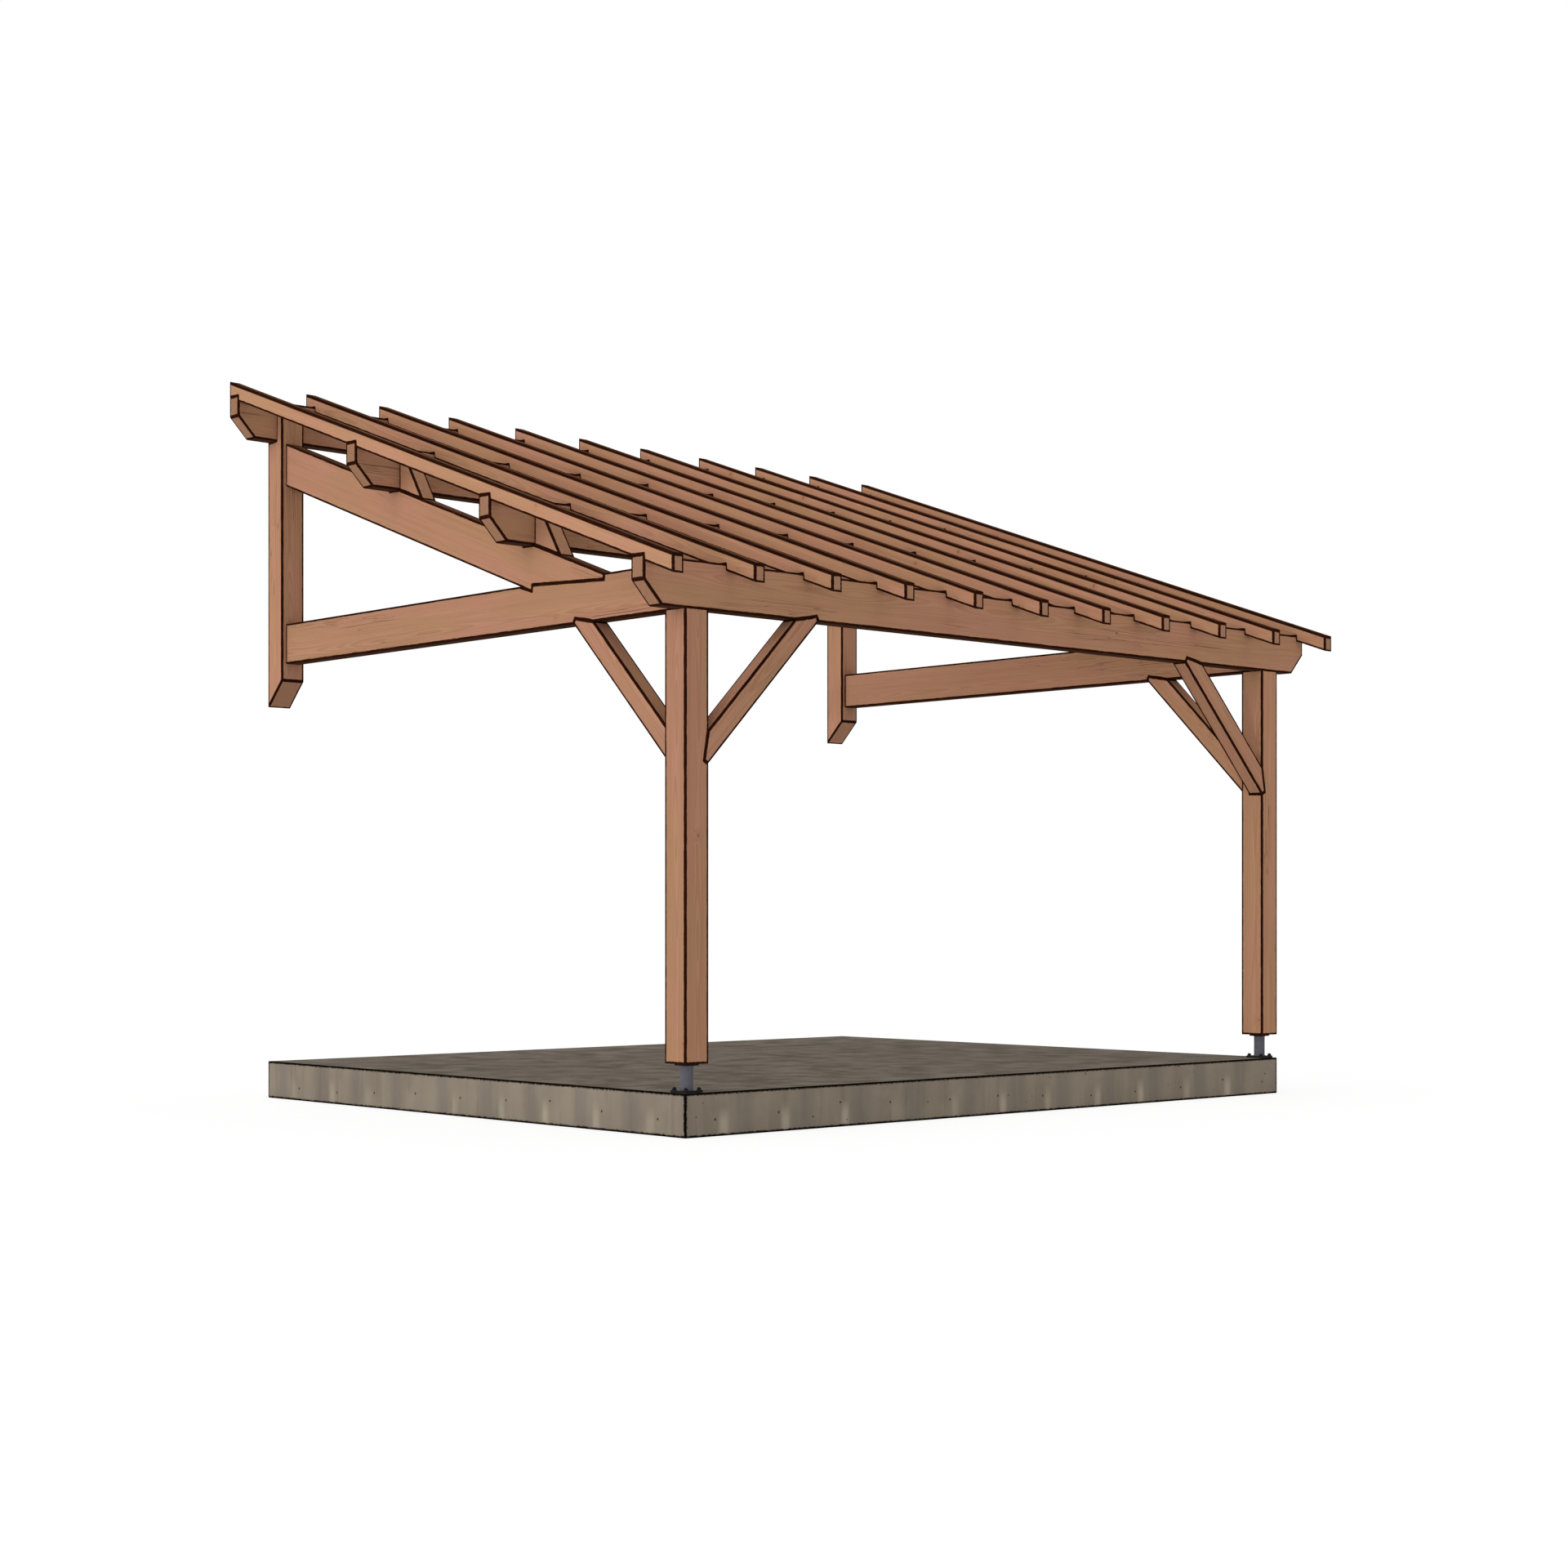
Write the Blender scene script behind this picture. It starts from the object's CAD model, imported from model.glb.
import math
import random

import bmesh
import bpy
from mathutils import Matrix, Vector


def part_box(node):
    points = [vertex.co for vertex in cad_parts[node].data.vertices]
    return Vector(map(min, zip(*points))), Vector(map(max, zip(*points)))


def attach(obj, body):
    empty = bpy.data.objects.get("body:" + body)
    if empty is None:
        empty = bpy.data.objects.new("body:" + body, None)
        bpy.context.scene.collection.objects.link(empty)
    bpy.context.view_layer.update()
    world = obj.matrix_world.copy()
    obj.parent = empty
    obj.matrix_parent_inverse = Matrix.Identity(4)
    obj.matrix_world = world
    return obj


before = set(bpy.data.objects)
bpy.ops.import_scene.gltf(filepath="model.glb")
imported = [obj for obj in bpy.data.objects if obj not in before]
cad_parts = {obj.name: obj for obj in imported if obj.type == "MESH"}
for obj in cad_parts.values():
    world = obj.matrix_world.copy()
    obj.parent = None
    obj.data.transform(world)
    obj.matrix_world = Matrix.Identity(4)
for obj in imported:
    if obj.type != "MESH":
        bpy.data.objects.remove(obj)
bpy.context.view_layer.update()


# ---- Floor slab ----
# One bay of concrete cast in a board form and struck off level. Its sides keep
# the pale runs and blowholes of the form, its top the sweep of the float, and
# its arrises are a little worn and dirty.

# sizes and heights in metres: of two, a pattern starts at one and is full at the other
SLAB_BAND = 0.019
SLAB_EASE = 0.004
FORM_BOARD = 0.43
BOARD_DRIFT = 0.20
RUN_FADES = (0.165, 0.06)
HOLE_ABOVE = 0.07
HOLE_SCATTER_UP = 0.07
HOLE_EDGE = (0.0075, 0.0045)
HOLE_DEEP = 0.004
CLOUD_DEEP = 0.003
GRIT_DEEP = 0.0006
GRIME_FULL = 0.010
GRIME_CHIPPED = 0.006

# places across a form board, and how far to each side of them a pattern starts and
# is full, in shares of the board's width. A third number is how strongly it tells.
GREY_AT = 0.60
GREY_HALF = (0.22, 0.05, 0.55)
BUFF_AT = 0.92
BUFF_HALF = (0.16, 0.02, 0.35)
RUN_AT = 0.30
RUN_HALF = (0.105, 0.02)
HOLE_ASIDE = 0.14
HOLE_SCATTER = 0.06

# patterns, in repeats to the metre
BOARDS_DRIFT = 1.1
CLOUDS = 2.4
LAITANCE_PATCHES = 3.1
FINE_RUNS = (16.0, 16.0, 1.3)
FLOAT_SWEEP = 4.6
FLOAT_SHEEN = (1.2, 1.2, 1.0)
CHANCE_HOLES = 19.0
CHIPS = 55.0
GRITTY = 260.0

# where on its noise each pattern starts and is full, then how strongly it tells or
# how many metres it adds
CLOUDY = (0.36, 0.66)
RUN_LIGHT = (0.52, 0.70, 0.30)
RUN_SHADED = (0.46, 0.30, 0.30)
LAITANCE_LEFT = (0.30, 0.62, 0.65)
SWEPT = (0.36, 0.64)
RUBBED = (0.45, 0.65, 0.40)
GRIT_SHOWS = (0.45, 0.30, 0.25)
CHIPPED = (0.35, 0.70, GRIME_CHIPPED)
HOLE_TELLS = 0.85

# chance blowholes, in shares of their spacing, and how level a top face lies
CHANCE_REACH = (0.62, 1.0, 0.11)
CHANCE_EDGE = (0.02, -0.02)
CHANCE_LEAST = (0.005, 0.03)
FACES_UP = (0.4, 0.9)

SIDE_DARK = (128, 118, 104)
SIDE_PALE = (140, 130, 115)
GREY_BOARD = (116, 107, 100)
BUFF_BOARD = (142, 132, 116)
RUN_PALE = (144, 135, 119)
RUN_DARK = (104, 95, 86)
LAITANCE = (174, 164, 145)
TOP_DARK = (99, 92, 83)
TOP_PALE = (121, 113, 103)
TOP_SHEEN = (113, 105, 96)
GRIT = (96, 88, 78)
HOLE_SHADE = (52, 45, 39)
GRIME = (14, 10, 7)


def linear(steps, shade=1.0):
    """A colour of 0 to 255 steps as the shader wants it, made paler by shade."""
    shares = [step / 255 for step in steps]
    light = [c / 12.92 if c <= 0.04045 else ((c + 0.055) / 1.055) ** 2.4 for c in shares]
    return tuple(shade * c for c in light) + (1.0,)


def new_finish(name, roughness, gloss):
    """An empty material, the tree of its nodes, and its shader."""
    finish = bpy.data.materials.new(name)
    finish.use_nodes = True
    shader = finish.node_tree.nodes["Principled BSDF"]
    shader.inputs["Roughness"].default_value = roughness
    shader.inputs["Specular IOR Level"].default_value = gloss
    return finish, finish.node_tree, shader


def add_node(tree, kind, ins=(), **settings):
    """A node with its settings; ins gives each socket a value or a link."""
    made = tree.nodes.new("ShaderNode" + kind)
    for key, value in settings.items():
        setattr(made, key, value)
    for key, value in dict(ins).items():
        if isinstance(value, bpy.types.NodeSocket):
            tree.links.new(value, made.inputs[key])
        else:
            made.inputs[key].default_value = value
    return made


def sums(tree, operation, a, b=0.0):
    """One sum with two numbers."""
    return add_node(tree, "Math", {0: a, 1: b}, operation=operation).outputs[0]


def apart(tree, a, b):
    """How far one number lies from another."""
    return sums(tree, "ABSOLUTE", sums(tree, "SUBTRACT", a, b))


def point_sums(tree, operation, a, b=(0.0, 0.0, 0.0)):
    """One sum with two points; a length or a product comes out under Value."""
    return add_node(tree, "VectorMath", {0: a, 1: b}, operation=operation).outputs


def parts_of(tree, point):
    """The X, Y and Z of a point."""
    return add_node(tree, "SeparateXYZ", {0: point}).outputs


def stretched(tree, place, along, across, up):
    """The place scaled by each axis, so that a noise on it is drawn out."""
    return point_sums(tree, "MULTIPLY", place, (along, across, up))[0]


def noise(tree, place, scale, detail, roughness=0.5):
    """Cloudy noise, about 0.5 on the whole and seldom past 0.3 or 0.7."""
    ins = {"Vector": place, "Scale": scale, "Detail": detail, "Roughness": roughness}
    return add_node(tree, "TexNoise", ins).outputs["Fac"]


def between(tree, value, low, high, most=1.0):
    """0 as far as low, most from high on, smooth between them."""
    ins = {"Value": value, "From Min": low, "From Max": high, "To Max": most}
    return add_node(tree, "MapRange", ins, interpolation_type="SMOOTHSTEP").outputs[0]


def tint(tree, share, under, over):
    """The colour over laid on the colour under, as far as share says."""
    return add_node(tree, "Mix", {0: share, 6: under, 7: over}, data_type="RGBA").outputs[2]


def relief(tree, height, depth, before=None):
    """A bump whose full height is depth metres, over the one before it."""
    ins = {"Height": height, "Distance": depth, "Strength": 1.0}
    if before is not None:
        ins["Normal"] = before
    return add_node(tree, "Bump", ins).outputs[0]


def near_arris(tree, full, faded, wander):
    """1 within full metres of the nearest arris, 0 beyond faded metres."""
    gap = add_node(tree, "Attribute", attribute_name="arris_gap").outputs["Fac"]
    return between(tree, sums(tree, "ADD", gap, wander), faded, full)


def cast_sides(tree, place, level, up, board, clouds):
    """The form's boards, grey and buff in turn, with fine runs down them and a pale
    run of laitance low on each."""
    colour = tint(tree, between(tree, clouds, *CLOUDY), linear(SIDE_DARK), linear(SIDE_PALE))
    across = sums(tree, "FRACT", board)
    grey = between(tree, apart(tree, across, GREY_AT), *GREY_HALF)
    colour = tint(tree, grey, colour, linear(GREY_BOARD))
    buff = between(tree, apart(tree, across, BUFF_AT), *BUFF_HALF)
    colour = tint(tree, buff, colour, linear(BUFF_BOARD))
    fine_runs = noise(tree, stretched(tree, place, *FINE_RUNS), 1.0, detail=3.0, roughness=0.6)
    colour = tint(tree, between(tree, fine_runs, *RUN_LIGHT), colour, linear(RUN_PALE))
    colour = tint(tree, between(tree, fine_runs, *RUN_SHADED), colour, linear(RUN_DARK))
    run = between(tree, apart(tree, across, RUN_AT), *RUN_HALF)
    run = sums(tree, "MULTIPLY", run, between(tree, up, *RUN_FADES))
    patchy = between(tree, noise(tree, level, LAITANCE_PATCHES, detail=1.0), *LAITANCE_LEFT)
    return tint(tree, sums(tree, "MULTIPLY", run, patchy), colour, linear(LAITANCE))


def floated_top(tree, place):
    """Soft clouds left by the float, and paler ones where it rubbed longest."""
    sweep = noise(tree, place, FLOAT_SWEEP, detail=3.0, roughness=0.55)
    colour = tint(tree, between(tree, sweep, *SWEPT), linear(TOP_DARK), linear(TOP_PALE))
    sheen = noise(tree, stretched(tree, place, *FLOAT_SHEEN), 1.0, detail=2.0)
    return tint(tree, between(tree, sheen, *RUBBED), colour, linear(TOP_SHEEN))


def blowholes(tree, place, up, board):
    """Holes where air sat against the form: one beside each run, more by chance."""
    ins = {"W": sums(tree, "FLOOR", board)}
    drawn = add_node(tree, "TexWhiteNoise", ins, noise_dimensions="1D").outputs["Value"]
    hole_at = sums(tree, "ADD", RUN_AT - HOLE_ASIDE, sums(tree, "MULTIPLY", drawn, HOLE_SCATTER))
    aside = sums(tree, "SUBTRACT", sums(tree, "FRACT", board), hole_at)
    aside = sums(tree, "MULTIPLY", aside, FORM_BOARD)
    hole_up = sums(tree, "ADD", HOLE_ABOVE, sums(tree, "MULTIPLY", drawn, HOLE_SCATTER_UP))
    above = sums(tree, "SUBTRACT", up, hole_up)
    away = add_node(tree, "CombineXYZ", {0: aside, 1: above}).outputs[0]
    away = point_sums(tree, "LENGTH", away)["Value"]
    cells = add_node(tree, "TexVoronoi", {"Vector": place, "Scale": CHANCE_HOLES}).outputs
    by_chance = add_node(tree, "SeparateColor", {0: cells["Color"]}).outputs[0]
    reach = between(tree, by_chance, *CHANCE_REACH)
    small = between(tree, sums(tree, "SUBTRACT", cells["Distance"], reach), *CHANCE_EDGE)
    small = sums(tree, "MULTIPLY", small, between(tree, reach, *CHANCE_LEAST))
    return sums(tree, "MAXIMUM", small, between(tree, away, *HOLE_EDGE))


def cast_concrete():
    """Grey concrete, cast at its sides, floated on top, grimy at its arrises."""
    finish, tree, shader = new_finish("cast_concrete", roughness=0.88, gloss=0.0)
    place = add_node(tree, "TexCoord").outputs["Object"]
    spot = parts_of(tree, place)
    facing = parts_of(tree, add_node(tree, "NewGeometry").outputs["True Normal"])
    on_top = between(tree, facing["Z"], *FACES_UP)
    level = stretched(tree, place, 1.0, 1.0, 0.0)
    drift = sums(tree, "MULTIPLY", noise(tree, level, BOARDS_DRIFT, detail=2.0), BOARD_DRIFT)
    round_side = sums(tree, "ADD", spot["X"], spot["Y"])
    board = sums(tree, "DIVIDE", sums(tree, "ADD", round_side, drift), FORM_BOARD)
    clouds = noise(tree, place, CLOUDS, detail=5.0, roughness=0.6)

    sides = cast_sides(tree, place, level, spot["Z"], board, clouds)
    colour = tint(tree, on_top, sides, floated_top(tree, place))
    grit = noise(tree, place, GRITTY, detail=2.0)
    colour = tint(tree, between(tree, grit, *GRIT_SHOWS), colour, linear(GRIT))
    hole = blowholes(tree, place, spot["Z"], board)
    hole = sums(tree, "MULTIPLY", hole, sums(tree, "SUBTRACT", 1.0, on_top))
    colour = tint(tree, sums(tree, "MULTIPLY", hole, HOLE_TELLS), colour, linear(HOLE_SHADE))
    chips = noise(tree, place, CHIPS, detail=4.0, roughness=0.7)
    chipped = between(tree, chips, *CHIPPED)
    colour = tint(tree, near_arris(tree, GRIME_FULL, SLAB_BAND, chipped), colour, linear(GRIME))

    skin = relief(tree, grit, GRIT_DEEP)
    skin = relief(tree, sums(tree, "SUBTRACT", 1.0, hole), HOLE_DEEP, skin)
    skin = relief(tree, clouds, CLOUD_DEEP, skin)
    tree.links.new(colour, shader.inputs["Base Color"])
    tree.links.new(skin, shader.inputs["Normal"])
    return finish


# how a CAD solid is made one skin and its folds are found: sizes in metres, folds in
# degrees, and the share of a full strip that a seat's rim gets
SAME_CORNER = 0.00005
SEAT_REACH = 0.0025
NO_SEAT = 10.0
FLAT_FOLD = 1.0
LEAST_FOLD = 9.0
LEAST_EASED = 25.0
RIM_SHARE = 0.35


def join_corners(piece):
    """Makes one closed skin of a CAD solid's loose faces."""
    piece.modifiers.new("joined_corners", "WELD").merge_threshold = SAME_CORNER


def join_faces(piece):
    """Makes one face of all that lie in one plane side by side."""
    joined = piece.modifiers.new("joined_faces", "DECIMATE")
    joined.decimate_type = "DISSOLVE"
    joined.angle_limit = math.radians(FLAT_FOLD)


def store_on(piece, name, domain, value_maker):
    """A modifier that stores a number under a name on each edge or corner of a solid.
    value_maker adds the nodes that draw the number from the solid."""
    tree = bpy.data.node_groups.new(f"{name}_of_{piece.name}", "GeometryNodeTree")
    tree.interface.new_socket("Geometry", in_out="INPUT", socket_type="NodeSocketGeometry")
    tree.interface.new_socket("Geometry", in_out="OUTPUT", socket_type="NodeSocketGeometry")
    solid = tree.nodes.new("NodeGroupInput").outputs[0]
    store = tree.nodes.new("GeometryNodeStoreNamedAttribute")
    store.data_type = "FLOAT"
    store.domain = domain
    store.inputs["Name"].default_value = name
    tree.links.new(solid, store.inputs["Geometry"])
    tree.links.new(value_maker(tree, solid), store.inputs["Value"])
    tree.links.new(store.outputs[0], tree.nodes.new("NodeGroupOutput").inputs[0])
    piece.modifiers.new(name, "NODES").node_group = tree


def folds_below(tree, seat):
    """1 on each edge where a solid folds, if it lies lower than its seat, or else 0."""
    fold = tree.nodes.new("GeometryNodeInputMeshEdgeAngle").outputs["Unsigned Angle"]
    place = tree.nodes.new("GeometryNodeInputPosition").outputs["Position"]
    folded = sums(tree, "GREATER_THAN", fold, math.radians(LEAST_FOLD))
    shown = sums(tree, "LESS_THAN", parts_of(tree, place)["Z"], seat - SEAT_REACH)
    return sums(tree, "MULTIPLY", folded, shown)


def seat_rim(tree, seat):
    """1 on each outer edge of the seat itself, 0 on the others."""
    fold = tree.nodes.new("GeometryNodeInputMeshEdgeAngle").outputs["Signed Angle"]
    place = tree.nodes.new("GeometryNodeInputPosition").outputs["Position"]
    outward = sums(tree, "GREATER_THAN", fold, math.radians(LEAST_FOLD))
    at_seat = sums(tree, "LESS_THAN", apart(tree, parts_of(tree, place)["Z"], seat), SEAT_REACH)
    return sums(tree, "MULTIPLY", outward, at_seat)


def cut_strips(piece, band, seat):
    """Cuts a strip as wide as band on both sides of every fold below the seat, and a
    thinner one round the seat's rim, and stores on each corner how far it lies from
    the nearest fold below the seat."""
    def fold_weight(tree, solid):
        rim = sums(tree, "MULTIPLY", seat_rim(tree, seat), RIM_SHARE)
        return sums(tree, "ADD", folds_below(tree, seat), rim)

    def gap_to_fold(tree, solid):
        folds = tree.nodes.new("GeometryNodeSeparateGeometry")
        folds.domain = "EDGE"
        gap = tree.nodes.new("GeometryNodeProximity")
        gap.target_element = "EDGES"
        tree.links.new(solid, folds.inputs["Geometry"])
        tree.links.new(folds_below(tree, seat), folds.inputs["Selection"])
        tree.links.new(folds.outputs["Selection"], gap.inputs[0])
        return gap.outputs["Distance"]

    store_on(piece, "bevel_weight_edge", "EDGE", fold_weight)
    strips = piece.modifiers.new("strips", "BEVEL")
    strips.width = band
    strips.segments = 2
    strips.profile = 1.0
    strips.use_clamp_overlap = False
    strips.loop_slide = False
    strips.limit_method = "WEIGHT"
    store_on(piece, "arris_gap", "POINT", gap_to_fold)


def ease_arrises(piece, ease):
    """Takes every arris off, a little rounded."""
    eased = piece.modifiers.new("eased_arrises", "BEVEL")
    eased.width = ease
    eased.segments = 2
    eased.limit_method = "ANGLE"
    eased.angle_limit = math.radians(LEAST_EASED)


def dress_solid(piece, finish, band, ease, seat=NO_SEAT):
    """Gives a CAD solid its finish, with strips for the dark of its arrises and the
    arrises eased. seat is the height of a seat that another piece hides, with its
    tenon: neither is darkened."""
    piece.material_slots[0].material = finish
    join_corners(piece)
    join_faces(piece)
    cut_strips(piece, band, seat)
    ease_arrises(piece, ease)


dress_solid(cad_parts["floor_slab"], cast_concrete(), SLAB_BAND, SLAB_EASE)


# ---- Post bases ----
# A square plate, a round stem and a head plate, welded in the shop and painted
# blue-grey. Four bolts with a nut and washer hold each to the slab, and a weld
# bead runs round both ends of the stem.

# sizes in metres
BASE_PLATE_T = 0.012
HEAD_PLATE_T = 0.010
PLATE_EASE = 0.0012
STEM_R = 0.034
RIM_AT = 0.049
RIM_FADE = 0.003
SAWN_PAST_STEM = (0.002, 0.004)
BRUSHED_DEEP = 0.0002
BEAD_R = 0.0045
BEAD_SUNK = 0.001
BOLT_INSET = 0.0145
BOLT_R = 0.006
THREAD_PITCH = 0.00175
THREAD_SUNK = 0.002
THREAD_LEAD = 0.001
WASHER_R = 0.014
WASHER_T = 0.003
WASHER_CHAMFER = 0.0004
NUT_FLATS = 0.019
NUT_H = 0.010
PIN_R = 0.0004

# counts, and shares of the bead's or the bolt's own radius; a nut's levels have the
# share of its width first and then the height
BEAD_RIPPLES = 60
BEAD_HOLLOW = 0.82
BEAD_FLANK = (0.75, 0.45)
THREAD_TURNS = 2
THREAD_ROOT = 0.88
THREAD_POINT = 0.9
NUT_LEVELS = ((0.93, 0.0), (1.0, 0.0010), (1.0, NUT_H - 0.0012), (0.90, NUT_H))
ROUND_SIDES = 40
UP = 1
DOWN = -1

# patterns, in repeats to the metre
DUSTY = 34.0
BRUSHED = 300.0
SPECKLED = 420.0
SPANGLED = 700.0

# where on its noise each pattern starts and is full, then how strongly it tells, and
# how far a face may lean and still be one of a plate's sawn sides
WORN = (0.48, 0.72)
SPECKS_SHOW = (0.62, 0.72, 0.50)
FACES_ASIDE = (0.6, 0.3)

BASE_PAINT = (89, 88, 96)
BASE_PAINT_WORN = (102, 100, 107)
WELD_PAINT = (78, 77, 85)
WELD_PAINT_WORN = (92, 90, 96)
PAINT_SPECK = (58, 55, 60)
MILL_SCALE = (22, 19, 21)
BLACKENED = (15, 13, 14)
BLACKENED_WORN = (29, 26, 28)


def bare_edges(tree, place, middle, dusty):
    """1 where a post base shows mill scale: the sawn sides of its plates, and the
    rim of the base plate, where the paint has worn."""
    out = point_sums(tree, "SUBTRACT", place, tuple(middle))[0]
    far = point_sums(tree, "LENGTH", stretched(tree, out, 1.0, 1.0, 0.0))["Value"]
    facing = parts_of(tree, add_node(tree, "NewGeometry").outputs["True Normal"])
    upright = between(tree, sums(tree, "ABSOLUTE", facing["Z"]), *FACES_ASIDE)
    starts, full = (STEM_R + past for past in SAWN_PAST_STEM)
    sawn = sums(tree, "MULTIPLY", upright, between(tree, far, starts, full))
    across = parts_of(tree, point_sums(tree, "ABSOLUTE", out)[0])
    rim = sums(tree, "MAXIMUM", across["X"], across["Y"])
    rim = sums(tree, "ADD", rim, sums(tree, "MULTIPLY", dusty, RIM_FADE))
    return sums(tree, "MAXIMUM", sawn, between(tree, rim, RIM_AT, RIM_AT + RIM_FADE))


def painted_steel(name, paint, worn, base_middle=None):
    """Brushed paint, with bare edges where it is for a post base about base_middle."""
    finish, tree, shader = new_finish(name, roughness=0.60, gloss=0.10)
    place = add_node(tree, "TexCoord").outputs["Object"]
    dusty = noise(tree, place, DUSTY, detail=5.0, roughness=0.65)
    colour = tint(tree, between(tree, dusty, *WORN), linear(paint), linear(worn))
    specks = noise(tree, place, SPECKLED, detail=2.0)
    colour = tint(tree, between(tree, specks, *SPECKS_SHOW), colour, linear(PAINT_SPECK))
    if base_middle is not None:
        colour = tint(tree, bare_edges(tree, place, base_middle, dusty), colour, linear(MILL_SCALE))
    tree.links.new(colour, shader.inputs["Base Color"])
    brushed = noise(tree, place, BRUSHED, detail=1.0)
    tree.links.new(relief(tree, brushed, BRUSHED_DEEP), shader.inputs["Normal"])
    return finish


def grained_steel(name, dark, pale, metal, roughness):
    """Blackened or coated steel, from dark to pale over its fine grain."""
    finish, tree, shader = new_finish(name, roughness, gloss=0.15)
    shader.inputs["Metallic"].default_value = metal
    place = add_node(tree, "TexCoord").outputs["Object"]
    spangle = add_node(tree, "TexVoronoi", {"Vector": place, "Scale": SPANGLED}).outputs["Color"]
    lit = add_node(tree, "SeparateColor", {0: spangle}).outputs[0]
    tree.links.new(tint(tree, lit, linear(dark), linear(pale)), shader.inputs["Base Color"])
    return finish


def new_piece(name, mesh_maker, finish, sharp_from):
    """An object whose mesh mesh_maker draws where it belongs, riding on the frame."""
    work = bmesh.new()
    mesh_maker(work)
    bmesh.ops.recalc_face_normals(work, faces=work.faces)
    mesh = bpy.data.meshes.new(name)
    work.to_mesh(mesh)
    work.free()
    mesh.shade_smooth()
    mesh.set_sharp_from_angle(angle=math.radians(sharp_from))
    mesh.materials.append(finish)
    piece = bpy.data.objects.new(name, mesh)
    bpy.context.scene.collection.objects.link(piece)
    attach(piece, "root")


def turn(work, outline, centre, sides, swell=None):
    """Turns a closed outline of (radius, height) points about an upright axis. swell
    gives how far each step of the turn stands out from the stem."""
    rings = []
    for step in range(sides):
        angle = 2 * math.pi * step / sides
        ring = []
        for radius, height in outline:
            reach = radius if swell is None else STEM_R + (radius - STEM_R) * swell(step)
            out = Vector((reach * math.cos(angle), reach * math.sin(angle), height))
            ring.append(work.verts.new(centre + out))
        rings.append(ring)
    for here, there in zip(rings, rings[1:] + rings[:1]):
        for k in range(len(outline)):
            after = (k + 1) % len(outline)
            work.faces.new((here[k], there[k], there[after], here[after]))


def weld_bead(centre, way):
    """The rippled fillet where the stem meets a plate, standing UP or hanging DOWN."""
    inner = STEM_R - BEAD_SUNK
    wide, narrow = (share * BEAD_R for share in BEAD_FLANK)
    outline = [
        (inner, 0.0), (STEM_R + BEAD_R, 0.0),
        (STEM_R + wide, way * narrow), (STEM_R + narrow, way * wide),
        (STEM_R, way * BEAD_R), (inner, way * BEAD_R),
    ]

    def ripple(step):
        return 1.0 if step % 2 else BEAD_HOLLOW

    def make(work):
        turn(work, outline, centre, 2 * BEAD_RIPPLES, ripple)
    return make


def add_washer(work, foot):
    """A flat ring with its corners broken."""
    turn(work, [
        (BOLT_R, 0.0), (WASHER_R - WASHER_CHAMFER, 0.0), (WASHER_R, WASHER_CHAMFER),
        (WASHER_R, WASHER_T - WASHER_CHAMFER), (WASHER_R - WASHER_CHAMFER, WASHER_T),
        (BOLT_R, WASHER_T),
    ], foot, ROUND_SIDES)


def add_nut(work, foot):
    """A hexagon nut, chamfered below and at its crown."""
    corner = NUT_FLATS / math.sqrt(3)
    rings = []
    for share, height in NUT_LEVELS:
        ring = []
        for k in range(6):
            angle = math.pi * k / 3
            out = Vector((math.cos(angle), math.sin(angle), 0)) * share * corner
            ring.append(work.verts.new(foot + out + Vector((0, 0, WASHER_T + height))))
        rings.append(ring)
    for low, high in zip(rings, rings[1:]):
        for k in range(6):
            work.faces.new((low[k], low[(k + 1) % 6], high[(k + 1) % 6], high[k]))
    work.faces.new(rings[0])
    work.faces.new(rings[-1])


def add_thread(work, foot):
    """The bolt's threaded end above the nut."""
    start = WASHER_T + NUT_H - THREAD_SUNK
    outline = [(PIN_R, start), (BOLT_R, start)]
    for k in range(THREAD_TURNS):
        level = start + THREAD_LEAD + k * THREAD_PITCH
        outline += [(BOLT_R, level), (THREAD_ROOT * BOLT_R, level + 0.5 * THREAD_PITCH)]
    top = level + THREAD_PITCH
    outline += [(THREAD_POINT * BOLT_R, top), (PIN_R, top)]
    turn(work, outline, foot, ROUND_SIDES)


def anchor_bolt(foot):
    """A washer, a nut and the end of the bolt, standing on a base plate at foot."""
    def make(work):
        add_washer(work, foot)
        add_nut(work, foot)
        add_thread(work, foot)
    return make


weld_paint = painted_steel("paint_over_weld", WELD_PAINT, WELD_PAINT_WORN)
blackened = grained_steel("blackened_steel", BLACKENED, BLACKENED_WORN, metal=0.0, roughness=0.65)
for side in ("left", "right"):
    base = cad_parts[side + "_post_base"]
    low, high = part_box(side + "_post_base")
    middle = (low + high) / 2
    base.material_slots[0].material = painted_steel(
        side + "_base_paint", BASE_PAINT, BASE_PAINT_WORN, base_middle=middle)
    join_corners(base)
    ease_arrises(base, PLATE_EASE)
    plate_top = low.z + BASE_PLATE_T
    head_foot = high.z - HEAD_PLATE_T
    new_piece(side + "_lower_weld", weld_bead(Vector((middle.x, middle.y, plate_top)), UP),
              weld_paint, sharp_from=50)
    new_piece(side + "_upper_weld", weld_bead(Vector((middle.x, middle.y, head_foot)), DOWN),
              weld_paint, sharp_from=50)
    corner = 0
    for x in (low.x + BOLT_INSET, high.x - BOLT_INSET):
        for y in (low.y + BOLT_INSET, high.y - BOLT_INSET):
            corner += 1
            new_piece(f"{side}_anchor_{corner}", anchor_bolt(Vector((x, y, plate_top))),
                      blackened, sharp_from=35)


# ---- Front posts ----
# Squared softwood with the heart boxed in, planed on four sides and brushed
# with a brown stain that has gathered dark in the arrises. The end grain has
# drunk more of it, and fine drying checks run down the faces.

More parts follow.
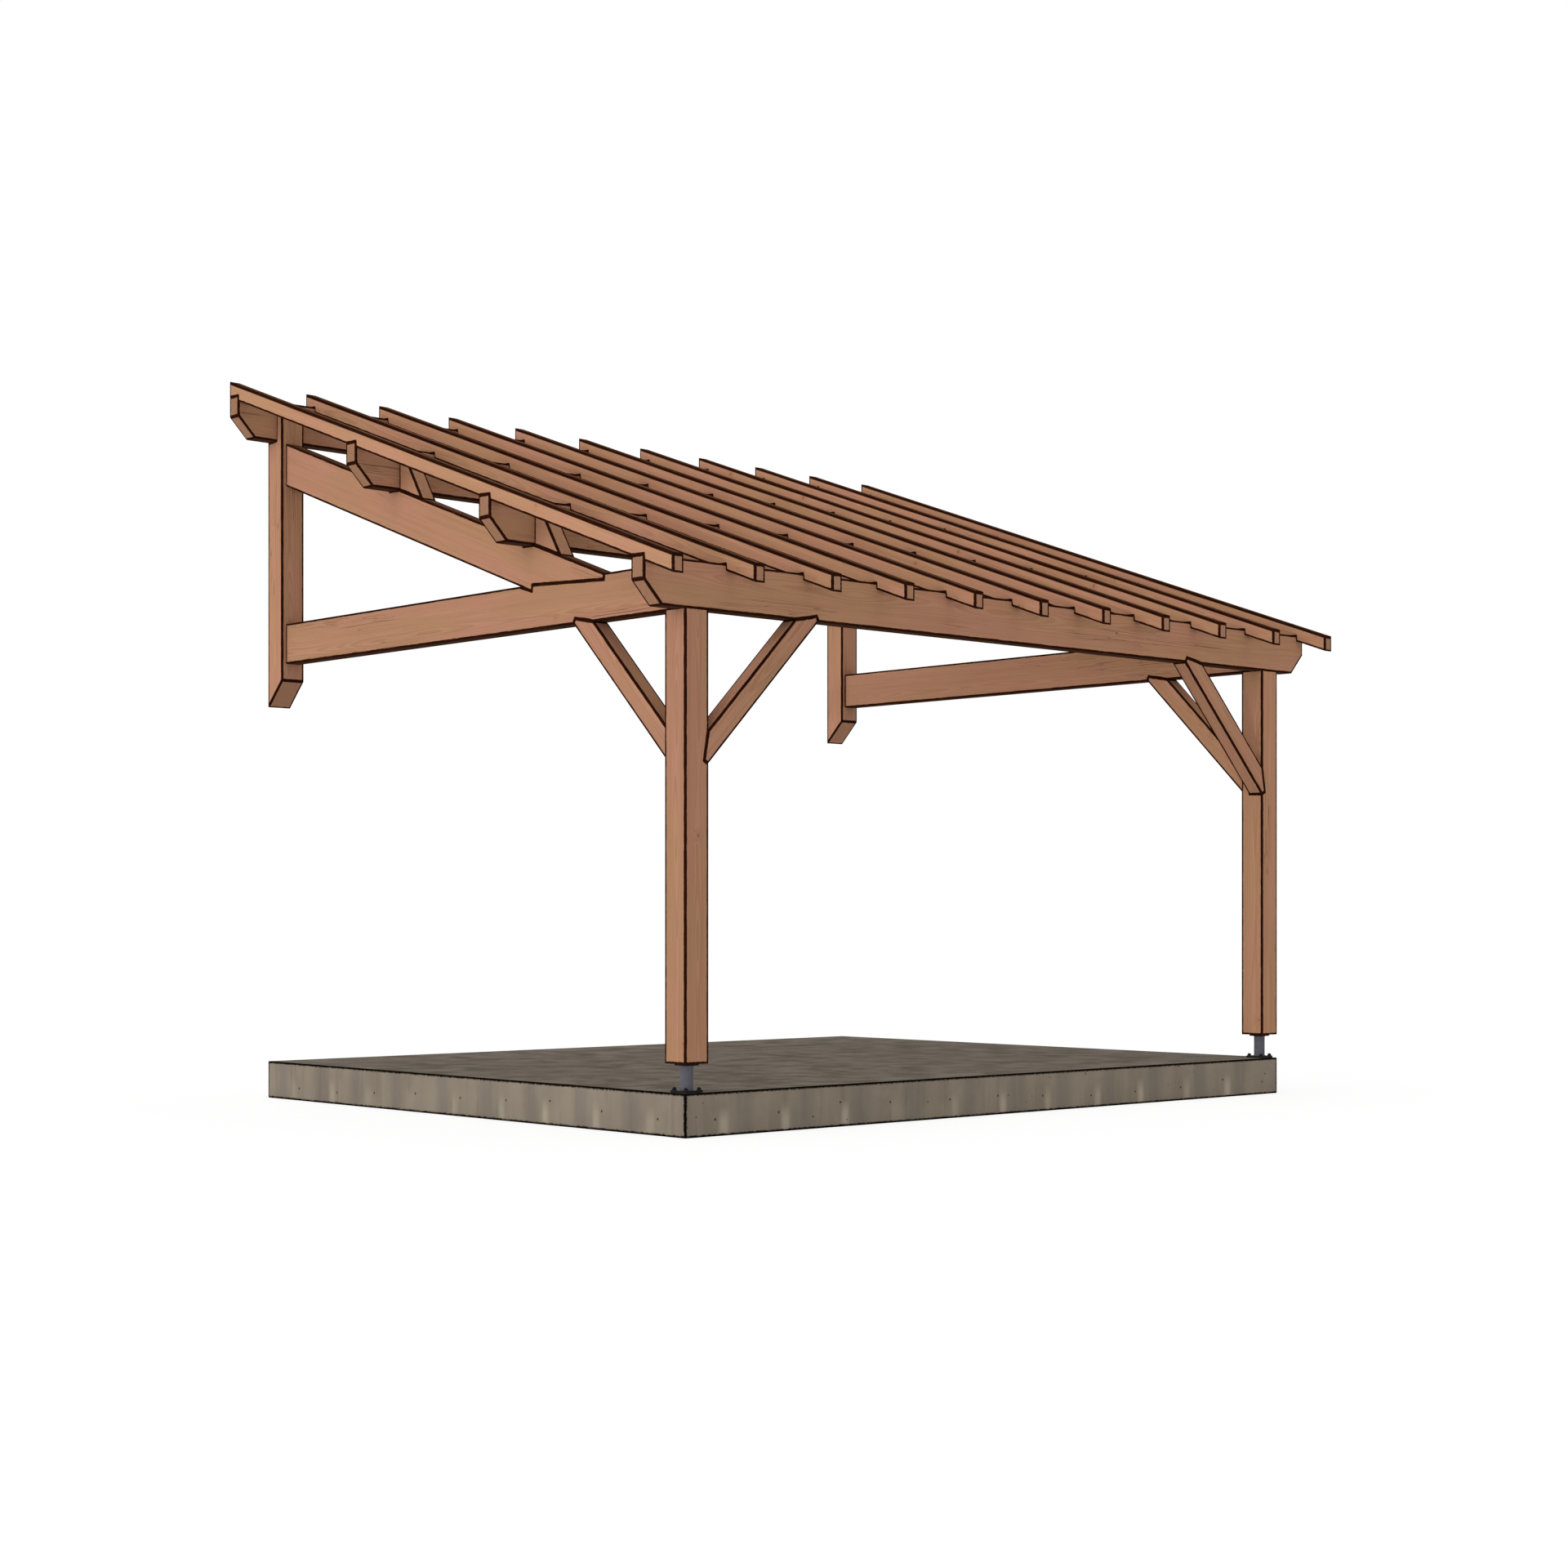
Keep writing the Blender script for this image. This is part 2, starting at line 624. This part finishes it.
# sizes in metres: of two, a pattern starts at one and is full at the other
TIMBER_BAND = 0.014
TIMBER_EASE = 0.0025
GATHERED_FULL = 0.82 * TIMBER_BAND
GATHERED_WANDER = 0.20 * TIMBER_BAND
ONE_TREE = 70.0
PITH_WANDER = 0.07
RING_W = 0.0042
KNOT_R = 0.010
KNOT_LEAST = (0.002, 0.004)
KNOT_EDGE = (0.003, -0.002)
KNOT_SWIRL = 0.045
SWIRL_SHIFT = 0.008
RAIN_STRIP = (0.020, 0.014)
RAIN_RAGGED = 0.010
FIBRE_DEEP = 0.0004
RING_DEEP = 0.0003
CHECK_DEEP = 0.003

# shares of one year's growth, and by how many years the rings shift
LATE_RISES = (0.30, 0.90)
LATE_ENDS = (1.0, 0.93)
RINGS_SHIFTED = 3.0

# patterns, in repeats to the metre, or along, across and up the grain where three
KNOT_SPACING = 1.3
KNOTS_ROUND = 5.0
YEARS_DIFFER = 46.0
BENDS = (0.55, 2.0, 2.0)
TEARS = (0.7, 6.0, 6.0)
STREAKS = (0.9, 34.0, 34.0)
SPLITS = (1.1, 60.0, 60.0)
PATCHES = (1.3, 6.0, 6.0)
FIBRES = (5.0, 300.0, 300.0)
BLEEDING = (14.0, 90.0, 90.0)

# where on its noise each pattern starts and is full, then how strongly it tells or
# how many metres it adds
ROSY = (0.38, 0.62)
THICK = (0.48, 0.72, 0.45)
THIN = (0.42, 0.28, 0.45)
FIBROUS = (0.45, 0.75, 0.25)
KNOTTY = (0.70, 1.0, KNOT_R)
SPLIT_HALF = (0.010, 0.002)
TORN = (0.58, 0.66)
STREAKS_WASHED = (-0.30, 0.60, 0.95)
BLEEDS = (0.35, 0.75, GATHERED_WANDER)
BLEEDS_THIN = (0.40, 0.70)
LATE_TELLS = 0.30
SWIRL_TELLS = 0.18
KNOT_TELLS = 0.50
SPLIT_TELLS = 0.80

# how far a face looks along the grain, up into the rain, aside from it, or straight
# down where no sun comes, from the start of each to the full, and how plumb a
# timber's run is when it stands on end
ENDWISE = (0.50, 0.80)
RAINED_ON = (0.70, 0.90)
RAIN_RUNS_DOWN = (0.60, 0.40)
LEVEL_BELOW = (-0.955, -0.985, 0.92)
NEAR_PLUMB = 0.9

# how lightly each post took the stain, and how far trees differ in that
FRONT_POST_PALE = {"left": 0.935, "right": 1.04}
TREES_DIFFER = 0.04

STAIN = (172, 131, 100)
STAIN_ROSY = (177, 130, 105)
STAIN_THICK = (158, 115, 88)
STAIN_THIN = (188, 143, 113)
LATE_WOOD = (140, 95, 69)
FIBRE = (146, 103, 77)
KNOT_SWIRLED = (142, 95, 68)
KNOT = (105, 68, 47)
END_EARLY = (161, 122, 97)
END_LATE = (127, 90, 69)
WEATHERED = (66, 41, 28)
NEVER_BLEACHED = (50, 32, 24)
RAIN_BLACK = (38, 16, 8)
CHECK_SHADE = (63, 40, 28)
GATHERED = (36, 15, 8)
GATHERED_THIN = (52, 25, 14)


def far_from(tree, a, b):
    """The length of a line that goes a one way and b square to it."""
    squares = sums(tree, "ADD", sums(tree, "MULTIPLY", a, a), sums(tree, "MULTIPLY", b, b))
    return sums(tree, "SQRT", squares)


def in_the_grain(tree, middle, run, drawn):
    """The place as it lies in the timber: along its run, across it, and up. drawn
    takes each timber from another stretch of the tree."""
    top = Vector((0, 0, 1)) if abs(run.z) < NEAR_PLUMB else Vector((0, 1, 0))
    side = top.cross(run).normalized()
    place = add_node(tree, "TexCoord").outputs["Object"]
    here = point_sums(tree, "SUBTRACT", place, tuple(middle))[0]
    axes = (tuple(axis) for axis in (run, side, run.cross(side)))
    along, across, up = (point_sums(tree, "DOT_PRODUCT", here, axis)["Value"] for axis in axes)
    along = sums(tree, "ADD", along, drawn * ONE_TREE)
    return along, up, add_node(tree, "CombineXYZ", {0: along, 1: across, 2: up}).outputs[0]


def stem_round(tree, grain, heart):
    """How far and which way the place lies from a pith that wanders up the tree."""
    ins = {"Vector": stretched(tree, grain, *BENDS), "Scale": 1.0, "Detail": 2.0}
    bend = add_node(tree, "TexNoise", ins).outputs["Color"]
    stem = point_sums(tree, "ADD", grain, stretched(tree, bend, 0.0, PITH_WANDER, PITH_WANDER))[0]
    pith = (0.0, heart[0] + PITH_WANDER / 2, heart[1] + PITH_WANDER / 2)
    stem = parts_of(tree, point_sums(tree, "SUBTRACT", stem, pith)[0])
    round_stem = sums(tree, "DIVIDE", sums(tree, "ARCTAN2", stem[2], stem[1]), 2 * math.pi)
    return far_from(tree, stem[1], stem[2]), round_stem


def knots(tree, along, round_stem, radius):
    """Branches that left the pith, few and small, and the grain that swirls by them."""
    where = add_node(tree, "CombineXYZ", {
        0: sums(tree, "MULTIPLY", along, KNOT_SPACING),
        1: sums(tree, "MULTIPLY", round_stem, KNOTS_ROUND)}).outputs[0]
    branch = add_node(tree, "TexVoronoi", {"Vector": where, "Scale": 1.0}, voronoi_dimensions="2D").outputs
    gap = parts_of(tree, point_sums(tree, "SUBTRACT", where, branch["Position"])[0])
    lengthwise = sums(tree, "DIVIDE", gap[0], KNOT_SPACING)
    sideways = sums(tree, "MULTIPLY", sums(tree, "MULTIPLY", gap[1], 2 * math.pi / KNOTS_ROUND), radius)
    rare = add_node(tree, "SeparateColor", {0: branch["Color"]}).outputs[1]
    knot_r = between(tree, rare, *KNOTTY)
    beyond = sums(tree, "SUBTRACT", far_from(tree, lengthwise, sideways), knot_r)
    any_knot = between(tree, knot_r, *KNOT_LEAST)
    knot = sums(tree, "MULTIPLY", between(tree, beyond, *KNOT_EDGE), any_knot)
    swirl = sums(tree, "MULTIPLY", between(tree, beyond, KNOT_SWIRL, 0.0), any_knot)
    return knot, swirl


def late_wood(tree, radius, swirl):
    """The dark part of each growth ring, in narrow and wide years, round the knots."""
    pushed = sums(tree, "MULTIPLY", swirl, SWIRL_SHIFT)
    year = sums(tree, "DIVIDE", sums(tree, "ADD", radius, pushed), RING_W)
    shift = sums(tree, "MULTIPLY", noise(tree, radius, YEARS_DIFFER, detail=1.0), RINGS_SHIFTED)
    year = sums(tree, "ADD", year, shift)
    ring = sums(tree, "FRACT", year)
    return sums(tree, "MULTIPLY", between(tree, ring, *LATE_RISES), between(tree, ring, *LATE_ENDS))


def drying_checks(tree, grain, dried):
    """Thin splits along the grain, as open as dried says."""
    split = noise(tree, stretched(tree, grain, *SPLITS), 1.0, detail=1.0)
    check = between(tree, apart(tree, split, 0.5), *SPLIT_HALF)
    torn = noise(tree, stretched(tree, grain, *TEARS), 1.0, detail=1.0)
    return sums(tree, "MULTIPLY", check, between(tree, torn, *TORN, dried))


def stained_timber(name, middle, run, heart, dried, drawn, pale, rained_at):
    """Stained wood whose grain runs along run past middle. heart is where the pith
    lies across the piece, dried how far checks have opened, drawn a number from 0 to
    1 that sets this tree apart, and pale how lightly it took the stain. rained_at is
    how high above the middle line a face stands in the rain, or None."""
    finish, tree, shader = new_finish(name, roughness=0.78, gloss=0.0)
    run = Vector(run).normalized()
    shade = pale * (1.0 + TREES_DIFFER * (drawn - 0.5))
    along, up, grain = in_the_grain(tree, middle, run, drawn)
    radius, round_stem = stem_round(tree, grain, heart)
    knot, swirl = knots(tree, along, round_stem, radius)
    late = late_wood(tree, radius, swirl)
    fibre = noise(tree, stretched(tree, grain, *FIBRES), 1.0, detail=3.0, roughness=0.7)
    streak = noise(tree, stretched(tree, grain, *STREAKS), 1.0, detail=3.0, roughness=0.6)
    patch = noise(tree, stretched(tree, grain, *PATCHES), 1.0, detail=2.0)

    # the faces: the stain on early and late wood, long streaks and soft patches
    colour = tint(tree, between(tree, patch, *ROSY), linear(STAIN, shade), linear(STAIN_ROSY, shade))
    for share, over in (
            (between(tree, streak, *THICK), STAIN_THICK),
            (between(tree, streak, *THIN), STAIN_THIN),
            (sums(tree, "MULTIPLY", late, LATE_TELLS), LATE_WOOD),
            (between(tree, fibre, *FIBROUS), FIBRE),
            (sums(tree, "MULTIPLY", swirl, SWIRL_TELLS), KNOT_SWIRLED),
            (sums(tree, "MULTIPLY", knot, KNOT_TELLS), KNOT)):
        colour = tint(tree, share, colour, linear(over, shade))

    # end grain: darker, with the rings plain to see
    normal = add_node(tree, "NewGeometry").outputs["True Normal"]
    endwise = sums(tree, "ABSOLUTE", point_sums(tree, "DOT_PRODUCT", normal, tuple(run))["Value"])
    end_grain = tint(tree, late, linear(END_EARLY, shade), linear(END_LATE, shade))
    colour = tint(tree, between(tree, endwise, *ENDWISE), colour, end_grain)

    # upper faces: rain and dirt have darkened them, and the strip just under a face
    # that stands in the rain is near black. Level undersides keep the stain's first
    # dark, as no sun bleaches them.
    upward = parts_of(tree, normal)["Z"]
    wet = sums(tree, "MULTIPLY", between(tree, upward, *RAINED_ON), between(tree, streak, *STREAKS_WASHED))
    colour = tint(tree, wet, colour, linear(WEATHERED, shade))
    sunless = between(tree, upward, *LEVEL_BELOW)
    colour = tint(tree, sunless, colour, linear(NEVER_BLEACHED, shade))
    if rained_at is not None:
        ragged = sums(tree, "MULTIPLY", sums(tree, "SUBTRACT", streak, 0.5), RAIN_RAGGED)
        starts, full = (rained_at - depth for depth in RAIN_STRIP)
        under = between(tree, sums(tree, "ADD", up, ragged), starts, full)
        under = sums(tree, "MULTIPLY", under, between(tree, upward, *RAIN_RUNS_DOWN))
        colour = tint(tree, under, colour, linear(RAIN_BLACK))

    # drying checks, and the arrises, where the stain gathers and dries dark
    check = drying_checks(tree, grain, dried)
    colour = tint(tree, sums(tree, "MULTIPLY", check, SPLIT_TELLS), colour, linear(CHECK_SHADE, shade))
    bleed = noise(tree, stretched(tree, grain, *BLEEDING), 1.0, detail=4.0, roughness=0.65)
    wander = between(tree, bleed, *BLEEDS)
    gathered = tint(tree, between(tree, bleed, *BLEEDS_THIN), linear(GATHERED), linear(GATHERED_THIN))
    colour = tint(tree, near_arris(tree, GATHERED_FULL, TIMBER_BAND, wander), colour, gathered)

    skin = relief(tree, fibre, FIBRE_DEEP)
    skin = relief(tree, late, RING_DEEP, skin)
    skin = relief(tree, sums(tree, "SUBTRACT", 1.0, check), CHECK_DEEP, skin)
    tree.links.new(colour, shader.inputs["Base Color"])
    tree.links.new(skin, shader.inputs["Normal"])
    return finish


def dress_timber(name, run, heart, dried=0.0, pale=1.0, rained_at=None, seat=NO_SEAT):
    """A timber's own stained wood, with its arrises eased and darkened."""
    low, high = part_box(name)
    drawn = random.Random(name).random()
    finish = stained_timber("stain_" + name, (low + high) / 2, run, heart, dried, drawn, pale, rained_at)
    dress_solid(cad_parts[name], finish, TIMBER_BAND, TIMBER_EASE, seat)


for side, pale in FRONT_POST_PALE.items():
    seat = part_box(side + "_tie_beam")[0].z
    dress_timber(side + "_front_post", run=(0, 0, 1), heart=(0.012, -0.018), dried=1.0,
                 pale=pale, seat=seat)


# ---- Wall posts ----
# Short lengths of the same squared timber, bolted to the house. Their feet are
# sawn off at a slant, so the end grain shows there as long ovals.

WALL_POST_PALE = {"left": 1.04, "right": 1.14}
for side, pale in WALL_POST_PALE.items():
    dress_timber(side + "_wall_post", run=(0, 0, 1), heart=(-0.02, 0.014), dried=0.8, pale=pale)


# ---- Tie beams ----
# Planks on edge, side-cut from the log, level between the posts. The front posts
# are tenoned into them from below, and they are tenoned into the wall posts.

TIE_BEAM_PALE = {"left": 0.98, "right": 1.09}
for side, pale in TIE_BEAM_PALE.items():
    dress_timber(side + "_tie_beam", run=(0, 1, 0), heart=(0.10, -0.06), dried=0.6, pale=pale)


# ---- Sloping beams ----
# The same planks laid to the roof's slope, stepped into the tie beams below and
# tenoned into the wall posts above.

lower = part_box("lower_purlin")[0]
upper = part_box("upper_purlin")[0]
up_slope = Vector((0, upper.y - lower.y, upper.z - lower.z)).normalized()
for side in ("left", "right"):
    dress_timber(side + "_sloping_beam", run=up_slope, heart=(-0.09, 0.07), dried=0.6)


# ---- Cleats ----
# Blocks of the beam timber spiked to the sloping beams, their grain along the
# slope, each holding a purlin from below.

for side in ("left", "right"):
    for level in ("lower", "upper"):
        dress_timber(f"{side}_{level}_cleat", run=up_slope, heart=(0.08, 0.05))


# ---- Purlins ----
# Four long planks on edge, the whole width of the roof: one over the front posts,
# two let into the sloping beams, and one in a rebate of the wall posts. Their ends
# are sawn on the slant underneath.

PURLIN_HEARTS = {
    "eave_purlin": (0.09, 0.05), "lower_purlin": (-0.10, 0.04),
    "upper_purlin": (0.08, -0.07), "wall_purlin": (-0.09, -0.05),
}
for purlin, heart in PURLIN_HEARTS.items():
    dress_timber(purlin, run=(1, 0, 0), heart=heart, dried=0.6)


# ---- Knee braces ----
# Short stiff props of the same timber at half a right angle, which keep the frame
# from swaying. Both ends are stepped into pockets cut in the post and in the beam.

SIDE_BRACE_PALE = {"left": 0.98, "right": 1.18}
for side, way in (("left", 1), ("right", -1)):
    pale = SIDE_BRACE_PALE[side]
    dress_timber(side + "_front_brace", run=(way, 0, 1), heart=(0.07, 0.05), dried=0.3)
    dress_timber(side + "_side_brace", run=(0, 1, 1), heart=(-0.06, 0.07), dried=0.3, pale=pale)


# ---- Rafters ----
# Light scantlings notched over every purlin, plumb at the eave and at the wall. A
# washer-head screw with a brown coat holds each to every purlin from above.

# how lightly the rafters took the stain, and in metres how far aside and how far up
# from the middle their hearts may lie, and how deep they are
RAFTER_PALE = 1.12
RAFTER_HEART_ASIDE = (0.05, 0.09)
RAFTER_HEART_UP = (-0.06, 0.06)
RAFTER_DEPTH = 0.094

# a screw's sizes in metres, its counts, and how far a lobe goes in as a share
SCREW_HEAD_R = 0.0105
SCREW_HEAD_H = 0.0042
SCREW_FLANGE_H = 0.0018
SCREW_DRIVE_R = 0.0034
SCREW_DRIVE_DEEP = 0.0026
SCREW_DRIVE_OUT = 0.0004
SCREW_DRIVE_DOWN = 0.0003
SCREW_CROWN_R = 0.0056
SCREW_SHOULDER_R = 0.0066
SCREW_SHOULDER_DOWN = 0.0010
SCREW_NECK_R = 0.0072
SCREW_NECK_UP = 0.0004
SCREW_EDGE = 0.0008
SCREW_PIN_R = 0.0003
SCREW_SUNK = 0.0010
SCREW_LOBES = 6
SCREW_LOBE_DEEP = 0.14
SCREW_SIDES = 36

SCREW_COAT = (58, 43, 34)
SCREW_COAT_RUBBED = (82, 63, 50)


def rafter_screws(places, tilt):
    """Washer-head screws with a lobed drive, driven square to the slope."""
    drive_foot = SCREW_HEAD_H - SCREW_DRIVE_DEEP
    drive_edge = SCREW_DRIVE_R + SCREW_DRIVE_OUT
    in_drive = SCREW_DRIVE_R + SCREW_DRIVE_OUT / 2
    outline = [
        (SCREW_PIN_R, drive_foot), (SCREW_DRIVE_R, drive_foot),
        (SCREW_DRIVE_R, SCREW_HEAD_H - SCREW_DRIVE_DOWN), (drive_edge, SCREW_HEAD_H),
        (SCREW_CROWN_R, SCREW_HEAD_H), (SCREW_SHOULDER_R, SCREW_HEAD_H - SCREW_SHOULDER_DOWN),
        (SCREW_NECK_R, SCREW_FLANGE_H + SCREW_NECK_UP),
        (SCREW_HEAD_R - SCREW_EDGE, SCREW_FLANGE_H), (SCREW_HEAD_R, SCREW_FLANGE_H - SCREW_EDGE),
        (SCREW_HEAD_R, -SCREW_SUNK), (SCREW_PIN_R, -SCREW_SUNK),
    ]

    def make(work):
        for place in places:
            before = set(work.verts)
            turn(work, outline, place, SCREW_SIDES)
            fresh = [v for v in work.verts if v not in before]
            for v in fresh:
                out = v.co - place
                if out.z > 0 and out.xy.length < in_drive:
                    wave = math.cos(SCREW_LOBES * math.atan2(out.y, out.x))
                    lobe = 1.0 - SCREW_LOBE_DEEP * (1.0 - wave)
                    v.co = place + Vector((out.x * lobe, out.y * lobe, out.z))
            bmesh.ops.rotate(work, cent=place, matrix=tilt, verts=fresh)
    return make


brown_coat = grained_steel("brown_coated_steel", SCREW_COAT, SCREW_COAT_RUBBED, metal=0.2, roughness=0.50)
square_to_slope = Vector((0, -up_slope.z, up_slope.y))
tilt = Vector((0, 0, 1)).rotation_difference(square_to_slope).to_matrix()
rafters = sorted(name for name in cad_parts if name.startswith("rafter_"))
for rafter in rafters:
    shuffle = random.Random("heart of " + rafter)
    aside = shuffle.choice((-1, 1)) * shuffle.uniform(*RAFTER_HEART_ASIDE)
    heart = (aside, shuffle.uniform(*RAFTER_HEART_UP))
    dress_timber(rafter, run=up_slope, heart=heart, pale=RAFTER_PALE, rained_at=RAFTER_DEPTH / 2)
    low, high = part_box(rafter)
    over_purlins = []
    for purlin in PURLIN_HEARTS:
        purlin_low, purlin_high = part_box(purlin)
        y = (purlin_low.y + purlin_high.y) / 2
        top = high.z - (high.y - y) * up_slope.z / up_slope.y
        over_purlins.append(Vector(((low.x + high.x) / 2, y, top)))
    new_piece(rafter + "_screws", rafter_screws(over_purlins, tilt), brown_coat, sharp_from=35)


# ---- Floor, light and camera ----
# A pale floor and an even pale sky round the frame, soft lamps above it and low on
# its left, and a level camera at the height of a child's eyes.

# places and sizes in metres, headings, heights and spreads in degrees, lens and
# sensor in millimetres
FLOOR_SIDE = 60.0
FLOOR_SUNK = 0.001
FLOOR_TONE = (0.85, 0.85, 0.85, 1.0)
FLOOR_SEEN_PALE = 0.78
FLOOR_PALE = 1.04
SKY = 0.56
WHITE = (1.0, 1.0, 1.0, 1.0)
LAMPS = {
    "low_lamp": {"power": 0.30, "heading": -76.3, "height": 0.5, "spread": 2.5},
    "wall_side_lamp": {"power": 0.47, "heading": -120.0, "height": 7.0, "spread": 20.0},
    "front_lamp": {"power": 0.25, "heading": -60.0, "height": 14.0, "spread": 24.0},
    "left_lamp": {"power": 0.50, "heading": -90.0, "height": 25.0, "spread": 40.0},
    "top_lamp": {"power": 1.25, "heading": 0.0, "height": 90.0, "spread": 50.0},
}
CAMERA_PLACE = (-11.091, -11.756, 1.132)
CAMERA_HEADING = 41.81
CAMERA_LENS = 57.94
CAMERA_SENSOR = 36.0
CAMERA_SHIFT = (0.0459, 0.0857)


def seen_directly(tree):
    """1 for what the camera, a mirror or a glass shows, 0 for light that falls."""
    path = add_node(tree, "LightPath").outputs
    direct = sums(tree, "MAXIMUM", path["Is Camera Ray"], path["Is Glossy Ray"])
    return sums(tree, "MAXIMUM", direct, path["Is Transmission Ray"])


def pale_floor():
    """A matt floor that is partly white where it is seen, and keeps its shadows."""
    finish, tree, shader = new_finish("pale_floor", roughness=0.9, gloss=0.0)
    shader.inputs["Base Color"].default_value = FLOOR_TONE
    glow = add_node(tree, "Emission", {"Color": WHITE, "Strength": FLOOR_PALE})
    share = sums(tree, "MULTIPLY", seen_directly(tree), FLOOR_SEEN_PALE)
    both = add_node(tree, "MixShader", {0: share, 1: shader.outputs[0], 2: glow.outputs[0]})
    tree.links.new(both.outputs[0], tree.nodes["Material Output"].inputs["Surface"])
    return finish


half = FLOOR_SIDE / 2
floor_mesh = bpy.data.meshes.new("floor")
floor_corners = [(x * half, y * half, -FLOOR_SUNK) for x, y in ((-1, -1), (1, -1), (1, 1), (-1, 1))]
floor_mesh.from_pydata(floor_corners, [], [(0, 1, 2, 3)])
floor_mesh.materials.append(pale_floor())
floor = bpy.data.objects.new("floor", floor_mesh)
bpy.context.scene.collection.objects.link(floor)

world = bpy.data.worlds.new("pale_sky")
bpy.context.scene.world = world
world.use_nodes = True
sky_tree = world.node_tree
sky = sky_tree.nodes["Background"]
brighter = sums(sky_tree, "MULTIPLY", seen_directly(sky_tree), 1.0 - SKY)
sky.inputs["Color"].default_value = WHITE
sky_tree.links.new(sums(sky_tree, "ADD", SKY, brighter), sky.inputs["Strength"])

for name, settings in LAMPS.items():
    lamp_data = bpy.data.lights.new(name, "SUN")
    lamp_data.energy = settings["power"]
    lamp_data.angle = math.radians(settings["spread"])
    lamp = bpy.data.objects.new(name, lamp_data)
    lamp.rotation_euler = (math.radians(90.0 - settings["height"]), 0.0, math.radians(settings["heading"]))
    bpy.context.scene.collection.objects.link(lamp)

camera_data = bpy.data.cameras.new("camera")
camera_data.lens = CAMERA_LENS
camera_data.sensor_width = CAMERA_SENSOR
camera_data.shift_x, camera_data.shift_y = CAMERA_SHIFT
camera = bpy.data.objects.new("camera", camera_data)
camera.location = CAMERA_PLACE
camera.rotation_euler = (math.radians(90.0), 0.0, math.radians(-CAMERA_HEADING))
bpy.context.scene.collection.objects.link(camera)
bpy.context.scene.camera = camera
bpy.context.scene.view_settings.view_transform = "Standard"
